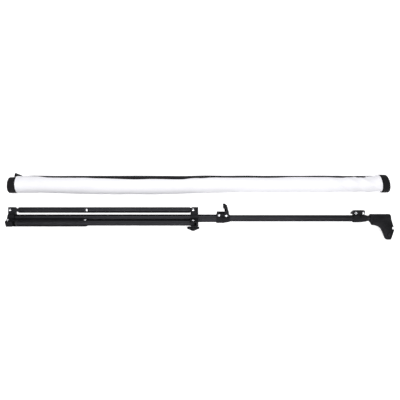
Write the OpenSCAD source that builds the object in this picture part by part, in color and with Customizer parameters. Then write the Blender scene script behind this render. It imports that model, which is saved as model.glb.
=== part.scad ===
/* [Column] */
// Outside diameter of the lower column tube
base_d = 30; // [28:0.2:34]
// Wall of the lower column tube
base_wall = 1.5; // [1.2:0.1:1.8]
// How far the lower tube goes on above the folded collar
base_above = 95; // [80:1:130]
// Outside diameter of the middle column tube
middle_d = 25.4; // [24.6:0.1:25.6]
// Wall of the middle column tube
middle_wall = 1.2; // [1:0.1:1.3]
// Height of the middle tube's lower end in the lower tube when it is pushed in
middle_start = 135; // [100:1:200]
// How far the middle tube stands out of the lower tube when it is pushed in
middle_out = 535; // [420:1:600]
// Outside diameter of the upper column tube
upper_d = 22; // [21:0.1:22.2]
// Wall of the upper column tube
upper_wall = 1.2; // [1:0.1:1.6]
// Height of the upper tube's lower end in the middle tube when it is pushed in
upper_start = 478; // [400:1:560]
// How far the upper tube stands out of the middle tube when it is pushed in
upper_out = 102; // [92:1:140]
// Length of the guide bush at each tube end
bush_l = 24; // [16:1:40]
// Radial play of a sliding tube in its guide
slide_play = 0.1; // [0.06:0.01:0.2]
// Radial play between a part and the tube it is clamped or pressed on
seat_play = 0.03; // [0.01:0.01:0.05]

/* [Legs] */
// Turn of the whole stand around its column, so that the upper leg opens over the roll
stand_turn = 18; // [17.5:0.5:20]
// Outside diameter of a leg tube
leg_d = 22; // [20:0.2:22.4]
// Wall of a leg tube
leg_wall = 1.2; // [1:0.1:1.6]
// Distance from the column's axis to the leg hinges
pivot_r = 32.5; // [31:0.1:34]
// Distance from a leg's hinge to its strut rivet
leg_to_strut = 415.3; // [380:1:450]
// Distance between the two rivets of a strut
strut_l = 298; // [290:1:320]
// Length of the solid rubber end of a foot
foot_l = 10; // [8:1:14]
// Chamfer around a foot's end
foot_cut = 5; // [4:0.5:6]
// Distance between a foot and the spider when the legs are folded, so that it swings out clear of the lug
foot_gap = 8; // [8:0.5:12]
// Length of the foot's plug and of the hinge fitting's plug inside the leg
plug_l = 22; // [14:1:34]
// Width of a strut's strips
strut_w = 13; // [12:0.5:15]
// Thickness of a strut's strips
strut_t = 1.5; // [1.2:0.1:2]
// Gap between a strut's strip and the lug that it swings past
strut_gap = 0.3; // [0.2:0.05:0.5]
// Diameter of the rivets' shanks
rivet_d = 6.4; // [5:0.2:7]
// Diameter of the rivets' heads
rivet_head_d = 10; // [8.6:0.2:11]
// Height of the rivets' heads
rivet_head_h = 2.2; // [1.6:0.1:2.8]
// Radial play of a moving part on its rivet or bolt
pin_play = 0.05; // [0.03:0.01:0.09]

/* [Hubs] */
// Distance from the column's axis to the outer end of a lug
lug_reach = 44; // [43:0.25:46]
// Width of a lug
lug_w = 22.4; // [22.4:0.2:24]
// Chamfer on the outer edge of a spider lug that a foot swings past
lug_cut = 4; // [4:0.5:7]
// Length of the spider along the column
spider_l = 26; // [22:0.5:32]
// Distance from the column's lower end to the strut pivots on the spider
spider_pivot_x = 8; // [7:0.5:12]
// Outside diameter of the spider's ring
spider_d = 42; // [39:0.5:43]
// Length of the collar above its hinge rivets
collar_above = 19.7; // [16:0.5:26]
// Length of the collar below its hinge rivets
collar_below = 10.3; // [8:0.5:11]
// Outside diameter of the collar's ring
collar_d = 38.6; // [37.5:0.1:40]
// Width of the hinge fitting between the collar's lug cheeks
fitting_w = 14; // [12:0.5:15]
// Radius of the hinge fitting's rounded end
fitting_r = 9; // [8:0.25:10]

/* [Lock knob] */
// Diameter of the screw of the collar's lock knob
stud_d = 8; // [6:0.5:9]
// Diameter of the collar's boss for the lock knob
boss_d = 16; // [14:0.5:18]
// Distance from the column's axis to the face of the boss
boss_reach = 30; // [27:0.5:31]
// Distance from the column's axis to the near side of the knob's wings
knob_start = 31.8; // [31.5:0.1:34]
// Span of the knob's two wings
knob_span = 48; // [40:1:50]
// Thickness of the knob's wings along the screw
knob_wing_h = 10.6; // [8:0.2:14]
// Height of the knob's hub along the screw
knob_hub_h = 17.6; // [15:0.2:22]
// Diameter of the knob's hub
knob_hub_d = 17; // [14:0.5:20]
// Width of the knob's wings
knob_wing_w = 9; // [7:0.5:12]

/* [Tube clamps] */
// Length of a clamp on the wider tube
clamp_back = 24; // [23:0.5:30]
// Length of a clamp on the narrower tube
clamp_front = 28; // [23:0.5:30]
// Wall of a clamp around its tubes
clamp_wall = 3.4; // [3:0.1:4]
// Wall of a clamp at its open end
clamp_lip = 2; // [1.5:0.1:3]
// Distance of a clamp's two bolts from the end of the wider tube
clamp_bolt_x = 14; // [13:0.25:15]
// Distance from the column's axis to a clamp's bolts
clamp_bolt_r = 21; // [20.5:0.1:22.5]
// Diameter of a clamp's bolts
bolt_d = 6; // [4:0.5:7]
// Size of a bolt's head, across its corners
bolt_head_d = 9.8; // [9:0.2:11]
// Height of a bolt's head
bolt_head_h = 2.8; // [2:0.2:4]
// Width of a clamp across both its ears
ears_w = 17.4; // [16:0.2:19]
// Radius of a clamp's ears around the bolts
ear_r = 5.2; // [4.5:0.1:5.5]
// Height of a clamp's slit rail above its bolts
rail_above = 6.2; // [5.2:0.1:6.4]
// Distance of the slit rail's end from the clamp's lower end
rail_back = 1.5; // [1.4:0.1:3]
// Width of the cut that parts a clamp's two barrels
part_w = 2.4; // [1.6:0.2:3]
// Width of the slit between a clamp's ears
slit_w = 2.4; // [1.6:0.2:4]
// Length of a lever from its bolt to its tip
lever_l = 46.5; // [40:0.5:52]
// Height of a lever's back above its bolt
lever_h = 11; // [9.8:0.1:12]
// How far a lever's back goes on behind its bolt
lever_heel = 2.4; // [1:0.2:3]
// Thickness of a lever's back
lever_back_t = 2.6; // [2.4:0.1:3.8]
// Thickness of a lever's cheeks
lever_cheek_t = 2.5; // [2:0.1:4]
// Gap between a lever's cheek and a clamp's ear
lever_gap = 0.3; // [0.2:0.05:0.5]
// Turn of the lower clamp around the column
lower_clamp_turn = 35; // [0:1:45]
// How far the lower clamp's lever is raised
lower_lever_raise = 76; // [0:1:90]

/* [Head] */
// Outside diameter of the head's sleeve
sleeve_d = 34; // [30:0.5:36]
// Length of the head's sleeve
sleeve_l = 76; // [70:1:78]
// Chamfer around the sleeve's closed end
sleeve_cut = 3.4; // [2:0.2:5]
// Gap between the upper clamp and the head
head_gap = 14; // [8:1:16]
// Thickness of the head's arm
arm_t = 24; // [20:0.5:28]
// Distance from the column's axis to the tip of the arm
arm_reach = 83.5; // [83:0.5:90]
// Diameter of the socket for the cross bar in the arm's tip
socket_d = 13; // [10:0.5:14]
// Depth of the socket for the cross bar
socket_depth = 25; // [23:1:30]
// Distance along the column from the sleeve's mouth to the socket's axis
socket_x = 71.4; // [69:0.2:73]
// Distance along the column from the sleeve's mouth to the bottom of the hanger notch
notch_x = 86.3; // [85:0.1:88]
// Distance along the column from the sleeve's mouth to the lip below the hanger notch
lip_x = 95.5; // [95:0.1:97]
// Width of the hanger notch
notch_w = 9.5; // [7:0.5:10]
// Distance from the column's axis to the middle of the hanger notch
notch_reach = 38.3; // [37:0.1:39]
// Diameter of the head's two screws
head_screw_d = 6; // [4:0.5:8]
// Diameter of the heads of the head's two screws
head_screw_head_d = 10; // [9:0.5:12]
// Height of the heads of the head's two screws
head_screw_head_h = 3; // [2:0.5:5]

/* [Backdrop] */
// Length of the rolled cloth
cloth_l = 1461; // [1300:1:1500]
// Outside diameter of the rolled cloth
cloth_d = 68.6; // [60:0.2:70]
// Outside diameter of the core tube
core_d = 32; // [28:1:36]
// Wall of the core tube
core_wall = 1.5; // [1:0.1:3]
// How far the core tube stands out of the cloth at each end
core_out = 24; // [16:1:26]
// How much smaller than the cloth the left end cover is across
left_cover_less = 6.6; // [4:0.2:12]
// Length of the left end cover
left_cover_l = 30; // [28:1:36]
// How much larger than the cloth the right end cover is across
right_cover_more = 2.4; // [1:0.2:5]
// Length of the right end cover
right_cover_l = 37; // [30:1:44]
// Clearance of soft parts to their neighbours
soft_gap = 0.4; // [0.3:0.05:0.6]
// Distance between the column's axis and the roll's axis
roll_offset = 145; // [144:1:180]
// How far the roll's left end lies beyond the lower tube's end
roll_back = 18.5; // [0:0.5:40]
// Turn of the roll away from the column's direction
roll_turn = 0.24; // [0:0.01:0.5]
// Width of the binding along the cloth's free edge, measured straight across
binding_w = 40; // [30:1:48]
// Thickness of the binding
binding_t = 1.2; // [0.8:0.1:2]
// Turn of the binding around the roll
binding_turn = 26; // [20:1:32]
// Distance between the right end of the binding and the cloth's end
binding_end = 68; // [40:1:90]
// Length of the side of the cloth's standing corner
tab_w = 26; // [20:1:34]
// Height of the cloth's standing corner above the roll
tab_h = 10; // [8:1:14]

/* [Hidden] */
$fn = 64;

black = [0.07, 0.07, 0.075];
plastic = [0.1, 0.1, 0.105];
steel = [0.75, 0.76, 0.78];
nylon = [0.85, 0.85, 0.82];
rubber = [0.05, 0.05, 0.05];
alloy = [0.7, 0.71, 0.73];
white = [0.93, 0.94, 0.96];

leg_turns = [0, 120, 240];
tiny = 0.01;
over = 1;

// Heights along the column, from the lower tube's lower end
pivot_span = leg_to_strut + strut_l;
base_l = spider_pivot_x + pivot_span + collar_above + base_above;
middle_l = base_l + middle_out - middle_start;
upper_l = middle_l + upper_out - upper_start;
collar_x = spider_pivot_x + pivot_span;
strut_rivet_x = collar_x - leg_to_strut;
foot_x = spider_l + foot_gap;
leg_tube_start = foot_x + foot_l;
leg_tube_end = collar_x - (lug_reach - pivot_r) - 1;
middle_end = base_l + middle_out;
upper_end = middle_end + upper_out;
head_x = middle_end + clamp_front + head_gap;
tip_x = head_x + lip_x;

// Radii and half widths
base_in = base_d / 2 - base_wall;
middle_in = middle_d / 2 - middle_wall;
upper_in = upper_d / 2 - upper_wall;
leg_in = leg_d / 2 - leg_wall;
strut_z = lug_w / 2 + strut_gap;
strut_out = strut_z + strut_t;
cheek_z = fitting_w / 2 + 0.2;
head_hole = upper_d / 2 + pin_play;

// Where the two items lie: the column along +X, the lowest lugs and the roll on z = 0
column_z = lug_reach * cos(30 - stand_turn) + lug_w / 2 * sin(30 - stand_turn);
left_cover_d = cloth_d - left_cover_less;
right_cover_d = cloth_d + right_cover_more;
roll_z = right_cover_d / 2;
roll_l = left_cover_l + cloth_l + right_cover_l + 2 * soft_gap;
roll_low_x = -roll_back;
span_x = [roll_low_x, max(tip_x, roll_low_x + roll_l)];
near_y = -arm_reach * cos(stand_turn) - arm_t / 2 * sin(stand_turn);
far_y = roll_offset + right_cover_d / 2 + sin(roll_turn) * roll_l / 2;
place = [-(span_x[0] + span_x[1]) / 2, -(near_y + far_y) / 2];
roll_mid_x = roll_low_x + roll_l / 2;

module on_column() { translate([place[0], place[1], column_z]) rotate([stand_turn, 0, 0]) children(); }
module on_roll() {
    translate([place[0] + roll_mid_x, place[1] + roll_offset, roll_z]) rotate([0, 0, roll_turn]) children();
}
module rod(x0, x1, r, r_end = 0) {
    translate([x0, 0, 0]) rotate([0, 90, 0]) cylinder(h = x1 - x0, r1 = r, r2 = r_end > 0 ? r_end : r);
}
module pipe(x0, x1, r_out, r_in) {
    difference() {
        rod(x0, x1, r_out);
        rod(x0 - over, x1 + over, r_in);
    }
}
// A pin across a lug: its axis is the local z direction
module cross_pin(x, y, r, half_l) { translate([x, y, -half_l]) cylinder(h = 2 * half_l, r = r); }
module box(x0, x1, y0, y1, z0, z1) { translate([x0, y0, z0]) cube([x1 - x0, y1 - y0, z1 - z0]); }
// Leg k lies beside the column in the direction of its lug
module at_leg(k) { rotate([leg_turns[k], 0, 0]) children(); }

// Lower column
module base_tube() { color(black) on_column() pipe(0, base_l, base_d / 2, base_in); }
module base_plug() {
    color(plastic) on_column() {
        rod(-3, 0, base_d / 2);
        rod(-tiny, plug_l, base_in - seat_play);
    }
}
module spider() {
    color(plastic) on_column() difference() {
        union() {
            rod(0, spider_l, spider_d / 2);
            for (k = [0:2]) at_leg(k) linear_extrude(lug_w, center = true)
                polygon([[0, spider_d / 4], [0, lug_reach], [spider_l - lug_cut, lug_reach],
                         [spider_l, lug_reach - lug_cut], [spider_l, spider_d / 4]]);
        }
        rod(-over, spider_l + over, base_d / 2 + seat_play);
        for (k = [0:2]) at_leg(k) cross_pin(spider_pivot_x, pivot_r, rivet_d / 2 + pin_play, lug_w);
    }
}
module spider_pins() {
    color(steel) on_column() for (k = [0:2]) at_leg(k)
        cross_pin(spider_pivot_x, pivot_r, rivet_d / 2, lug_w / 2);
}
module guide_bush(end, r_out, r_in) {
    color(nylon) on_column() pipe(end - bush_l, end, r_out - seat_play, r_in + slide_play);
}
module guide_bush_lower() { guide_bush(base_l, base_in, middle_d / 2); }

// Tube clamps: a barrel around both tubes and a slit rail that two transverse bolts draw together
module at_clamp(end, turn) { on_column() translate([end, 0, 0]) rotate([turn, 0, 0]) children(); }
module clamp_body(r_low, r_up) {
    barrel_r = r_low + clamp_wall;
    color(plastic) difference() {
        union() {
            rod(-clamp_back, part_w + 1, barrel_r);
            rod(part_w + 1, clamp_front, barrel_r, r_up + clamp_lip);
            box(rail_back - clamp_back, clamp_bolt_x, 0, clamp_bolt_r + rail_above, -ears_w / 2, ears_w / 2);
            box(0, clamp_bolt_x + ear_r, 0, clamp_bolt_r, -ears_w / 2, ears_w / 2);
            cross_pin(clamp_bolt_x, clamp_bolt_r, ear_r, ears_w / 2);
        }
        rod(-clamp_back - over, 0, r_low + seat_play);
        rod(-tiny, clamp_front + over, r_up + slide_play);
        box(-clamp_back - over, clamp_front + over, 0, clamp_bolt_r + 2 * ear_r, -slit_w / 2, slit_w / 2);
        box(over / 4, over / 4 + part_w, 0, barrel_r, -barrel_r - over, barrel_r + over);
        for (side = [-1, 1]) cross_pin(side * clamp_bolt_x, clamp_bolt_r, bolt_d / 2 + pin_play, ears_w);
    }
}
module bolt(x, half_w) {
    cross_pin(x, clamp_bolt_r, bolt_d / 2, half_w + tiny);
    for (side = [-1, 1])
        translate([x, clamp_bolt_r, side * (half_w + bolt_head_h / 2)])
            cylinder(h = bolt_head_h, d = bolt_head_d, $fn = side < 0 ? 6 : 64, center = true);
}
lever_z0 = ears_w / 2 + lever_gap;
lever_z1 = lever_z0 + lever_cheek_t;
module clamp_bolts() {
    color(steel) {
        bolt(-clamp_bolt_x, ears_w / 2 + tiny);
        bolt(clamp_bolt_x, lever_z1 + 0.1);
    }
}
// A lever's side view, closed: its bolt is at the origin and its tip points down the column
lever_top = [
    [lever_heel, lever_h - lever_back_t], [lever_heel, lever_h - 1.2], [0, lever_h], [-lever_l + 18, lever_h],
    [-lever_l + 6, lever_h - 3], [-lever_l, -2], [-lever_l + 3.5, -3]
];
lever_back = concat(lever_top, [
    [-lever_l + 8.6, lever_h - lever_back_t - 2], [-lever_l + 12, lever_h - lever_back_t]
]);
rear_bolt = -2 * clamp_bolt_x;
rear_r = bolt_head_d / 2;
lever_cheek = concat(lever_top, [
    [rear_bolt - rear_r - 2.6, 0], [rear_bolt - rear_r - 1.2, rear_r + 0.8],
    [rear_bolt + rear_r + 1.2, rear_r + 0.8], [rear_bolt + rear_r + 3, -2], [-8, -3.5], [-ear_r, 0]
]);
module lever_shape() {
    difference() {
        union() {
            for (side = [-1, 1]) translate([0, 0, side * (lever_z0 + lever_cheek_t / 2)]) {
                linear_extrude(lever_cheek_t, center = true) polygon(lever_cheek);
                cylinder(h = lever_cheek_t, r = ear_r + 0.8, center = true);
            }
            linear_extrude(2 * lever_z1, center = true) polygon(lever_back);
        }
        cylinder(h = 4 * lever_z1, r = bolt_d / 2 + pin_play, center = true);
    }
}
module lever(raise) {
    color(plastic) translate([clamp_bolt_x, clamp_bolt_r, 0]) rotate([0, 0, -raise]) lever_shape();
}

module clamp_lower() { at_clamp(base_l, lower_clamp_turn) clamp_body(base_d / 2, middle_d / 2); }
module clamp_lower_bolts() { at_clamp(base_l, lower_clamp_turn) clamp_bolts(); }
module lever_lower() { at_clamp(base_l, lower_clamp_turn) lever(lower_lever_raise); }
module clamp_upper() { at_clamp(middle_end, 0) clamp_body(middle_d / 2, upper_d / 2); }
module clamp_upper_bolts() { at_clamp(middle_end, 0) clamp_bolts(); }
module lever_upper() { at_clamp(middle_end, 0) lever(0); }

// Sliding collar with a fork for each leg and a threaded boss for the lock knob
module collar() {
    lug_r = lug_reach - pivot_r;
    color(plastic) on_column() difference() {
        union() {
            rod(collar_x - collar_below, collar_x + collar_above, collar_d / 2);
            rod(collar_x + collar_above - 8, collar_x + collar_above, collar_d / 2 + 1.5);
            for (k = [0:2]) at_leg(k) {
                cross_pin(collar_x, pivot_r, lug_r, lug_w / 2);
                box(collar_x - collar_below, collar_x + lug_r, collar_d / 4, pivot_r, -lug_w / 2, lug_w / 2);
                box(collar_x, collar_x + collar_above, collar_d / 4, lug_reach, -lug_w / 2, lug_w / 2);
            }
            translate([collar_x, -boss_reach, 0]) rotate([-90, 0, 0])
                cylinder(h = boss_reach - base_d / 4, d = boss_d);
        }
        rod(0, base_l, base_d / 2 + slide_play);
        for (k = [0:2]) at_leg(k) {
            cross_pin(collar_x, pivot_r, rivet_d / 2 + pin_play, lug_w);
            box(collar_x - 2 * lug_r, collar_x + lug_r + over, pivot_r - fitting_r - 1, lug_reach + over,
                -cheek_z, cheek_z);
        }
        translate([collar_x, -boss_reach - over, 0]) rotate([-90, 0, 0])
            cylinder(h = boss_reach, d = stud_d + 2 * pin_play);
    }
}
module rivet(x, y, half_w) {
    cross_pin(x, y, rivet_d / 2, half_w + tiny);
    for (side = [0, 1]) mirror([0, 0, side]) translate([x, y, half_w])
        cylinder(h = rivet_head_h, d1 = rivet_head_d, d2 = rivet_head_d * 0.7);
}
module collar_rivets() {
    color(steel) on_column() for (k = [0:2]) at_leg(k) rivet(collar_x, pivot_r, lug_w / 2);
}

module on_knob() { on_column() translate([collar_x, 0, 0]) rotate([90, 0, 0]) children(); }
module lock_knob() {
    color(plastic) on_knob() difference() {
        union() {
            translate([0, 0, knob_start]) cylinder(h = knob_hub_h, d = knob_hub_d);
            translate([0, 0, knob_start + knob_wing_h / 2]) {
                cube([knob_span - knob_wing_w, knob_wing_w, knob_wing_h], center = true);
                for (side = [-1, 1]) translate([side * (knob_span - knob_wing_w) / 2, 0, 0])
                    cylinder(h = knob_wing_h, d = knob_wing_w, center = true);
            }
        }
        translate([0, 0, knob_start - over]) cylinder(h = over + knob_hub_h - 4, d = stud_d + 2 * seat_play);
    }
}
module lock_knob_stud() {
    tip = base_d / 2 + 0.3;
    color(steel) on_knob() translate([0, 0, tip])
        cylinder(h = knob_start + knob_hub_h - 4.1 - tip, d = stud_d);
}

// Legs
module leg_tube(k) {
    color(black) on_column() at_leg(k) difference() {
        translate([0, pivot_r, 0]) pipe(leg_tube_start, leg_tube_end, leg_d / 2, leg_in);
        cross_pin(strut_rivet_x, pivot_r, rivet_d / 2 + seat_play, leg_d);
    }
}
module leg_fitting(k) {
    color(plastic) on_column() at_leg(k) difference() {
        union() {
            translate([0, pivot_r, 0]) rod(leg_tube_end - plug_l, leg_tube_end, leg_in - seat_play);
            box(leg_tube_end - plug_l / 2, collar_x, pivot_r - fitting_r + 2, pivot_r + fitting_r - 2,
                -fitting_w / 2 + 1.5, fitting_w / 2 - 1.5);
            box(leg_tube_end + tiny, collar_x, pivot_r - fitting_r, pivot_r + fitting_r,
                -fitting_w / 2, fitting_w / 2);
            cross_pin(collar_x, pivot_r, fitting_r, fitting_w / 2);
        }
        cross_pin(collar_x, pivot_r, rivet_d / 2 + pin_play, lug_w);
    }
}
module leg_foot(k) {
    color(rubber) on_column() at_leg(k) translate([0, pivot_r, 0]) {
        rod(foot_x, foot_x + foot_cut, leg_d / 2 - foot_cut, leg_d / 2);
        rod(foot_x + foot_cut - tiny, leg_tube_start, leg_d / 2);
        rod(leg_tube_start - tiny, leg_tube_start + plug_l, leg_in - seat_play);
    }
}
module leg_rivet(k) { color(steel) on_column() at_leg(k) rivet(strut_rivet_x, pivot_r, strut_out + 0.05); }

// Struts: two strips that straddle the leg and the spider's lug
module strut(k) {
    color(black) on_column() at_leg(k) for (side = [0, 1]) mirror([0, 0, side])
        translate([0, pivot_r, strut_z]) difference() {
            union() {
                translate([spider_pivot_x, -strut_w / 2, 0]) cube([strut_l, strut_w, strut_t]);
                for (x = [spider_pivot_x, strut_rivet_x]) translate([x, 0, 0]) cylinder(h = strut_t, d = strut_w);
            }
            for (x = [spider_pivot_x, strut_rivet_x]) translate([x, 0, -over])
                cylinder(h = strut_t + 2 * over, d = rivet_d + 2 * pin_play);
        }
}
module strut_rivet(k) {
    color(steel) on_column() at_leg(k) for (side = [0, 1]) mirror([0, 0, side])
        translate([spider_pivot_x, pivot_r, strut_z]) {
            cylinder(h = strut_t + tiny, d = rivet_d);
            translate([0, 0, strut_t]) cylinder(h = rivet_head_h, d1 = rivet_head_d, d2 = rivet_head_d * 0.7);
        }
}

// Middle and upper column
module middle_tube() {
    color(black) on_column() pipe(middle_end - middle_l, middle_end, middle_d / 2, middle_in);
}
module middle_bush() {
    start = middle_end - middle_l;
    color(nylon) on_column() {
        pipe(start, start + bush_l, base_in - slide_play, middle_d / 2 + seat_play);
        pipe(start - 3, start + tiny, base_in - slide_play, middle_in);
    }
}
module guide_bush_upper() { guide_bush(middle_end, middle_in, upper_d / 2); }
module upper_tube() { color(black) on_column() pipe(upper_end - upper_l, upper_end, upper_d / 2, upper_in); }
module upper_bush() {
    start = upper_end - upper_l;
    color(nylon) on_column() {
        pipe(start, start + bush_l, middle_in - slide_play, upper_d / 2 + seat_play);
        pipe(start - 3, start + tiny, middle_in - slide_play, upper_in);
    }
}
module upper_plug() {
    color(plastic) on_column() {
        rod(upper_end - plug_l, upper_end + tiny, upper_in - seat_play);
        rod(upper_end, upper_end + 2, upper_d / 2);
    }
}

// Head: a sleeve on the upper tube and an arm with a hanger notch and a socket
arm_outline = [
    [1, -16], [0, 0], [sleeve_l, 0], [81, 4], [86, -10.4], [92.7, -29.2], [93.4, -notch_reach + notch_w / 2],
    [notch_x, -notch_reach + notch_w / 2], [notch_x, -notch_reach - notch_w / 2],
    [lip_x - 0.8, -notch_reach - notch_w / 2],
    [lip_x, -notch_reach - notch_w / 2 - 2.2], [socket_x + 10.4, -arm_reach + 2],
    [socket_x + 7.6, -arm_reach],
    [socket_x - 7.6, -arm_reach], [socket_x - 9.6, -arm_reach + 1.6], [52.8, -66.5], [48.4, -53.2],
    [40.8, -37.9], [30.4, -30], [12, -26.5], [6, -25.5]
];
module on_head() { on_column() translate([head_x, 0, 0]) children(); }
module head() {
    color(plastic) on_head() difference() {
        union() {
            rod(0, sleeve_l, sleeve_d / 2);
            rod(sleeve_l - tiny, sleeve_l + sleeve_cut, sleeve_d / 2, sleeve_d / 2 - sleeve_cut);
            linear_extrude(arm_t, center = true) polygon(arm_outline);
        }
        rod(-over, upper_end - head_x + 2.2, head_hole);
        translate([socket_x, -arm_reach - over, 0]) rotate([-90, 0, 0])
            cylinder(h = socket_depth + over, d = socket_d);
        translate([20, 0, -sleeve_d]) cylinder(h = sleeve_d, d = head_screw_d + 2 * pin_play);
        translate([socket_x, -screw_reach, 0]) cylinder(h = arm_t, d = head_screw_d + 2 * pin_play);
    }
}
screw_reach = arm_reach - 19.2;
module head_screw(tip, face) {
    translate([0, 0, tip]) cylinder(h = face - tip, d = head_screw_d);
    translate([0, 0, face]) cylinder(h = head_screw_head_h, d = head_screw_head_d);
}
module sleeve_screw() {
    color(steel) on_head() translate([20, 0, 0]) rotate([180, 0, 0]) head_screw(upper_d / 2 + 0.2, sleeve_d / 2);
}
module socket_screw() {
    color(steel) on_head() translate([socket_x, -screw_reach, 0]) head_screw(socket_d / 2 + 0.2, arm_t / 2);
}

// Backdrop: the cloth rolled on its core, the binding on its free edge and an elastic cover on each end
cloth_x = -roll_l / 2 + left_cover_l + soft_gap;
module core_tube() {
    color(alloy) on_roll()
        pipe(cloth_x - core_out, cloth_x + cloth_l + core_out, core_d / 2, core_d / 2 - core_wall);
}
module core_plug(x, turn) {
    color(plastic) on_roll() translate([x, 0, 0]) rotate([0, 0, turn]) {
        rod(0, 2, core_d / 2);
        rod(-plug_l, tiny, core_d / 2 - core_wall - seat_play);
    }
}
module core_plug_left() { core_plug(cloth_x - core_out, 180); }
module core_plug_right() { core_plug(cloth_x + cloth_l + core_out, 0); }
module cloth_roll() {
    color(white) on_roll() pipe(cloth_x, cloth_x + cloth_l, cloth_d / 2, core_d / 2 + seat_play);
}
module edge_binding() {
    x0 = cloth_x + tab_w + 2;
    x1 = cloth_x + cloth_l - binding_end;
    color(black) on_roll() rotate([binding_turn, 0, 0]) intersection() {
        pipe(x0, x1, cloth_d / 2 + seat_play + binding_t, cloth_d / 2 + seat_play);
        box(x0 - over, x1 + over, 0, cloth_d, -binding_w / 2, binding_w / 2);
    }
}
module corner_tab() {
    color(black) on_roll() rotate([stand_turn, 0, 0])
        translate([cloth_x + 1, cloth_d / 2 + seat_play, -binding_t / 2])
            linear_extrude(binding_t) polygon([[0, 0], [6, tab_h], [tab_w, 0]]);
}
cover_hole = core_out + 2 + soft_gap;
module end_cover_left() {
    color(rubber) on_roll() translate([cloth_x - soft_gap, 0, 0]) mirror([1, 0, 0]) difference() {
        rod(0, left_cover_l, left_cover_d / 2);
        rod(-over, cover_hole, core_d / 2 + soft_gap);
    }
}
module end_cover_right() {
    color(rubber) on_roll() translate([cloth_x + cloth_l + soft_gap, 0, 0]) difference() {
        rod(0, right_cover_l, right_cover_d / 2);
        rod(-over, cover_hole, core_d / 2 + soft_gap);
    }
}

base_tube();
base_plug();
spider();
spider_pins();
guide_bush_lower();
clamp_lower();
clamp_lower_bolts();
lever_lower();
collar();
collar_rivets();
lock_knob();
lock_knob_stud();
leg_tube(0);  // leg_tube_1
leg_fitting(0);  // leg_fitting_1
leg_foot(0);  // leg_foot_1
leg_rivet(0);  // leg_rivet_1
strut(0);  // strut_1
strut_rivet(0);  // strut_rivet_1
leg_tube(1);  // leg_tube_2
leg_fitting(1);  // leg_fitting_2
leg_foot(1);  // leg_foot_2
leg_rivet(1);  // leg_rivet_2
strut(1);  // strut_2
strut_rivet(1);  // strut_rivet_2
leg_tube(2);  // leg_tube_3
leg_fitting(2);  // leg_fitting_3
leg_foot(2);  // leg_foot_3
leg_rivet(2);  // leg_rivet_3
strut(2);  // strut_3
strut_rivet(2);  // strut_rivet_3
middle_tube();
middle_bush();
guide_bush_upper();
clamp_upper();
clamp_upper_bolts();
lever_upper();
upper_tube();
upper_bush();
upper_plug();
head();
sleeve_screw();
socket_screw();
core_tube();
core_plug_left();
core_plug_right();
cloth_roll();
edge_binding();
corner_tab();
end_cover_left();
end_cover_right();
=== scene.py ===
"""Looks of the background support kit: a folded three-section stand with a tripod base and a hanger head,
and a rolled cloth backdrop beside it. Sizes are in millimetres until put() turns them into metres."""
import math

import bmesh
import bpy
import numpy as np
from mathutils import Matrix, Vector


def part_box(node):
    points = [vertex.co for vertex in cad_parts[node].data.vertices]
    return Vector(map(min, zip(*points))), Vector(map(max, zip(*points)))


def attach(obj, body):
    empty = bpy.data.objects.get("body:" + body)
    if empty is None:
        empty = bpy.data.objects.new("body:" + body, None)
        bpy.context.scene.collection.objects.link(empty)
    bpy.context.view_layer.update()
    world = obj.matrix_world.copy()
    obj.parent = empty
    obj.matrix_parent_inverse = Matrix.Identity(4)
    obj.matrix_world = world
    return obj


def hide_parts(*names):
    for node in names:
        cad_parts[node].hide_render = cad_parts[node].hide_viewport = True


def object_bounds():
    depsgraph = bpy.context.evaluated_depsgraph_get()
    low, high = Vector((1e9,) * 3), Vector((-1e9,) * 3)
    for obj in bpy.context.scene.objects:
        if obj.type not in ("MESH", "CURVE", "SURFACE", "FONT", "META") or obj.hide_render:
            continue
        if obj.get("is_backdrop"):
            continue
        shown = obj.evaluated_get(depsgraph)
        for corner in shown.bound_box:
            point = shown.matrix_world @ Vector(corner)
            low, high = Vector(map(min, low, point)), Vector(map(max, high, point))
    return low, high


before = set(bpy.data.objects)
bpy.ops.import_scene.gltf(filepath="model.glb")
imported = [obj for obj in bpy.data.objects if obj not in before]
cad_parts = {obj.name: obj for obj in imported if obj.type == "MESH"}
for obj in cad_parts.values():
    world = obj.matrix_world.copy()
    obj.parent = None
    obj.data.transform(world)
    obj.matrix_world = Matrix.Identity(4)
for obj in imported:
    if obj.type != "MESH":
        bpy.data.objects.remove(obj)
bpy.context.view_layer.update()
MM = 0.001
rad = math.radians

# ---------------------------------------------------------------- the two items' own frames
# The stand's frame: x along the column from the lower tube's end, y towards the first leg.
# The roll's frame: x along the roll from its middle, z up.
TILT = rad(18)              # the stand is turned by it, and both items are looked at along it
ROLL_YAW = rad(0.24)        # the roll lies a little out of line with the stand
low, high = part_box("base_tube")
tube_end = Vector((low.x, (low.y + high.y) / 2, (low.z + high.z) / 2))
STAND = Matrix.Translation(tube_end) @ Matrix.Rotation(TILT, 4, "X")
low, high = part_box("core_tube")
ROLL = Matrix.Translation((low + high) / 2) @ Matrix.Rotation(ROLL_YAW, 4, "Z")
FLOOR_Z = -(low.z + high.z) / 2 / MM + 0.05     # just above the floor, from the roll's axis


def shift(x, y=0.0, z=0.0):
    """A move, given in millimetres."""
    return Matrix.Translation((x * MM, y * MM, z * MM))


def turn_x(degrees):
    """A turn about the x axis."""
    return Matrix.Rotation(rad(degrees), 4, "X")


# ---------------------------------------------------------------- camera
CAMERA_PLACE = (748.0, 71.7, 1840.0)
camera = bpy.data.objects.new("camera", bpy.data.cameras.new("camera"))
bpy.context.scene.collection.objects.link(camera)
camera.data.sensor_width = 36
camera.data.lens = 42.24
camera.data.clip_end = 20
camera.matrix_world = STAND @ shift(*CAMERA_PLACE)
bpy.context.scene.camera = camera
bpy.context.scene.view_settings.view_transform = "Standard"

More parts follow.
